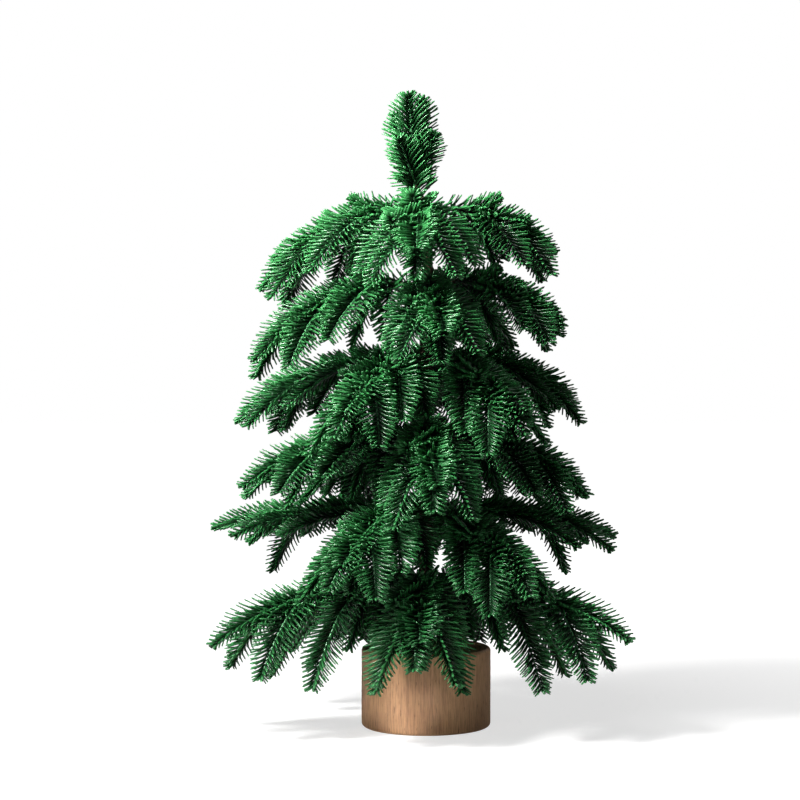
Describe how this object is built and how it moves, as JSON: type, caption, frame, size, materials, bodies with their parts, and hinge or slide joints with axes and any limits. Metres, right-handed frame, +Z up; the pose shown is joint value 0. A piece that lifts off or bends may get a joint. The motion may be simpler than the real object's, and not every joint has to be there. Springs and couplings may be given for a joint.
{
  "type": "artificial tabletop tree",
  "caption": "Artificial tabletop fir tree: upright leader and bendable tape-wrapped branches of drooping moulded needle sprigs on a taped trunk, set in a plain round wooden base.",
  "frame": {"origin": "centre of the underside of the wooden base, where it rests on the table", "axes": "+Z up along the trunk, -Y towards the front, +X to the right seen from the front"},
  "size_m": [0.2835, 0.2355, 0.434],
  "materials": {
    "base_wood": "satin",
    "core_steel": "satin",
    "brown_tape": "matte",
    "needles": "satin"
  },
  "bodies": {
    "base": {"base_block": "base_wood", "trunk_core": "core_steel", "trunk_wrap": "brown_tape"},
    "leader": {"leader_foliage": "needles", "leader_stem": "brown_tape"},
    "branch_01": {"branch_01_foliage": "needles", "branch_01_stem": "brown_tape"},
    "branch_02": {"branch_02_foliage": "needles", "branch_02_stem": "brown_tape"},
    "branch_03": {"branch_03_foliage": "needles", "branch_03_stem": "brown_tape"},
    "branch_04": {"branch_04_foliage": "needles", "branch_04_stem": "brown_tape"},
    "branch_05": {"branch_05_foliage": "needles", "branch_05_stem": "brown_tape"},
    "branch_06": {"branch_06_foliage": "needles", "branch_06_stem": "brown_tape"},
    "branch_07": {"branch_07_foliage": "needles", "branch_07_stem": "brown_tape"},
    "branch_08": {"branch_08_foliage": "needles", "branch_08_stem": "brown_tape"},
    "branch_09": {"branch_09_foliage": "needles", "branch_09_stem": "brown_tape"},
    "branch_10": {"branch_10_foliage": "needles", "branch_10_stem": "brown_tape"},
    "branch_11": {"branch_11_foliage": "needles", "branch_11_stem": "brown_tape"},
    "branch_12": {"branch_12_foliage": "needles", "branch_12_stem": "brown_tape"},
    "branch_13": {"branch_13_foliage": "needles", "branch_13_stem": "brown_tape"},
    "branch_14": {"branch_14_foliage": "needles", "branch_14_stem": "brown_tape"},
    "branch_15": {"branch_15_foliage": "needles", "branch_15_stem": "brown_tape"},
    "branch_16": {"branch_16_foliage": "needles", "branch_16_stem": "brown_tape"},
    "branch_17": {"branch_17_foliage": "needles", "branch_17_stem": "brown_tape"},
    "branch_18": {"branch_18_foliage": "needles", "branch_18_stem": "brown_tape"},
    "branch_19": {"branch_19_foliage": "needles", "branch_19_stem": "brown_tape"},
    "branch_20": {"branch_20_foliage": "needles", "branch_20_stem": "brown_tape"},
    "branch_21": {"branch_21_foliage": "needles", "branch_21_stem": "brown_tape"},
    "branch_22": {"branch_22_foliage": "needles", "branch_22_stem": "brown_tape"},
    "branch_23": {"branch_23_foliage": "needles", "branch_23_stem": "brown_tape"},
    "branch_24": {"branch_24_foliage": "needles", "branch_24_stem": "brown_tape"},
    "branch_25": {"branch_25_foliage": "needles", "branch_25_stem": "brown_tape"},
    "branch_26": {"branch_26_foliage": "needles", "branch_26_stem": "brown_tape"},
    "branch_27": {"branch_27_foliage": "needles", "branch_27_stem": "brown_tape"}
  },
  "joints": [
    {"name": "leader_bend", "type": "hinge", "parent": "base", "child": "leader", "pos_m": [0, 0, 0.3641], "axis": [0, 1, 0], "range_deg": [-15, 15]},
    {"name": "branch_01_bend", "type": "hinge", "parent": "base", "child": "branch_01", "pos_m": [-0.00701, 0.00111, 0.3595], "axis": [0.1564, 0.9877, 0], "range_deg": [-6, 8]},
    {"name": "branch_02_bend", "type": "hinge", "parent": "base", "child": "branch_02", "pos_m": [0.0071, 0.00025, 0.3595], "axis": [0.0349, -0.9994, 0], "range_deg": [-6, 8]},
    {"name": "branch_03_bend", "type": "hinge", "parent": "base", "child": "branch_03", "pos_m": [-0.00099, -0.00703, 0.3595], "axis": [-0.9903, 0.1392, 0], "range_deg": [-6, 8]},
    {"name": "branch_04_bend", "type": "hinge", "parent": "base", "child": "branch_04", "pos_m": [-0.00663, -0.00254, 0.306], "axis": [-0.3584, 0.9336, 0], "range_deg": [-6, 8]},
    {"name": "branch_05_bend", "type": "hinge", "parent": "base", "child": "branch_05", "pos_m": [0.00683, -0.00196, 0.308], "axis": [-0.2756, -0.9613, 0], "range_deg": [-6, 8]},
    {"name": "branch_06_bend", "type": "hinge", "parent": "base", "child": "branch_06", "pos_m": [0.00049, -0.00708, 0.303], "axis": [-0.9976, -0.0698, 0], "range_deg": [-6, 8]},
    {"name": "branch_07_bend", "type": "hinge", "parent": "base", "child": "branch_07", "pos_m": [0.00311, 0.00638, 0.31], "axis": [0.8988, -0.4384, 0], "range_deg": [-6, 8]},
    {"name": "branch_08_bend", "type": "hinge", "parent": "base", "child": "branch_08", "pos_m": [-0.00667, 0.00243, 0.253], "axis": [0.342, 0.9397, 0], "range_deg": [-6, 8]},
    {"name": "branch_09_bend", "type": "hinge", "parent": "base", "child": "branch_09", "pos_m": [0.00675, 0.00219, 0.253], "axis": [0.309, -0.9511, 0], "range_deg": [-6, 8]},
    {"name": "branch_10_bend", "type": "hinge", "parent": "base", "child": "branch_10", "pos_m": [0.00456, -0.00544, 0.254], "axis": [-0.766, -0.6428, 0], "range_deg": [-6, 8]},
    {"name": "branch_11_bend", "type": "hinge", "parent": "base", "child": "branch_11", "pos_m": [-0.00417, -0.00574, 0.253], "axis": [-0.809, 0.5878, 0], "range_deg": [-6, 8]},
    {"name": "branch_12_bend", "type": "hinge", "parent": "base", "child": "branch_12", "pos_m": [0, 0.0071, 0.253], "axis": [1, 0, 0], "range_deg": [-6, 8]},
    {"name": "branch_13_bend", "type": "hinge", "parent": "base", "child": "branch_13", "pos_m": [-0.00675, -0.00219, 0.2], "axis": [-0.309, 0.9511, 0], "range_deg": [-6, 8]},
    {"name": "branch_14_bend", "type": "hinge", "parent": "base", "child": "branch_14", "pos_m": [0.00675, -0.00219, 0.2], "axis": [-0.309, -0.9511, 0], "range_deg": [-6, 8]},
    {"name": "branch_15_bend", "type": "hinge", "parent": "base", "child": "branch_15", "pos_m": [0.00025, -0.0071, 0.206], "axis": [-0.9994, -0.0349, 0], "range_deg": [-6, 8]},
    {"name": "branch_16_bend", "type": "hinge", "parent": "base", "child": "branch_16", "pos_m": [0.00417, 0.00574, 0.2], "axis": [0.809, -0.5878, 0], "range_deg": [-6, 8]},
    {"name": "branch_17_bend", "type": "hinge", "parent": "base", "child": "branch_17", "pos_m": [-0.00417, 0.00574, 0.2], "axis": [0.809, 0.5878, 0], "range_deg": [-6, 8]},
    {"name": "branch_18_bend", "type": "hinge", "parent": "base", "child": "branch_18", "pos_m": [-0.00675, 0.00219, 0.148], "axis": [0.309, 0.9511, 0], "range_deg": [-6, 8]},
    {"name": "branch_19_bend", "type": "hinge", "parent": "base", "child": "branch_19", "pos_m": [0.00675, 0.00219, 0.148], "axis": [0.309, -0.9511, 0], "range_deg": [-6, 8]},
    {"name": "branch_20_bend", "type": "hinge", "parent": "base", "child": "branch_20", "pos_m": [0.00417, -0.00574, 0.146], "axis": [-0.809, -0.5878, 0], "range_deg": [-6, 8]},
    {"name": "branch_21_bend", "type": "hinge", "parent": "base", "child": "branch_21", "pos_m": [-0.00397, -0.00589, 0.152], "axis": [-0.829, 0.5592, 0], "range_deg": [-6, 8]},
    {"name": "branch_22_bend", "type": "hinge", "parent": "base", "child": "branch_22", "pos_m": [0, 0.0071, 0.148], "axis": [1, 0, 0], "range_deg": [-6, 8]},
    {"name": "branch_23_bend", "type": "hinge", "parent": "base", "child": "branch_23", "pos_m": [-0.00667, -0.00243, 0.094], "axis": [-0.342, 0.9397, 0], "range_deg": [-6, 8]},
    {"name": "branch_24_bend", "type": "hinge", "parent": "base", "child": "branch_24", "pos_m": [0.00649, -0.00289, 0.094], "axis": [-0.4067, -0.9135, 0], "range_deg": [-6, 8]},
    {"name": "branch_25_bend", "type": "hinge", "parent": "base", "child": "branch_25", "pos_m": [-0.00062, -0.00707, 0.101], "axis": [-0.9962, 0.0872, 0], "range_deg": [-6, 8]},
    {"name": "branch_26_bend", "type": "hinge", "parent": "base", "child": "branch_26", "pos_m": [0.00417, 0.00574, 0.094], "axis": [0.809, -0.5878, 0], "range_deg": [-6, 8]},
    {"name": "branch_27_bend", "type": "hinge", "parent": "base", "child": "branch_27", "pos_m": [-0.00417, 0.00574, 0.094], "axis": [0.809, 0.5878, 0], "range_deg": [-6, 8]}
  ]
}
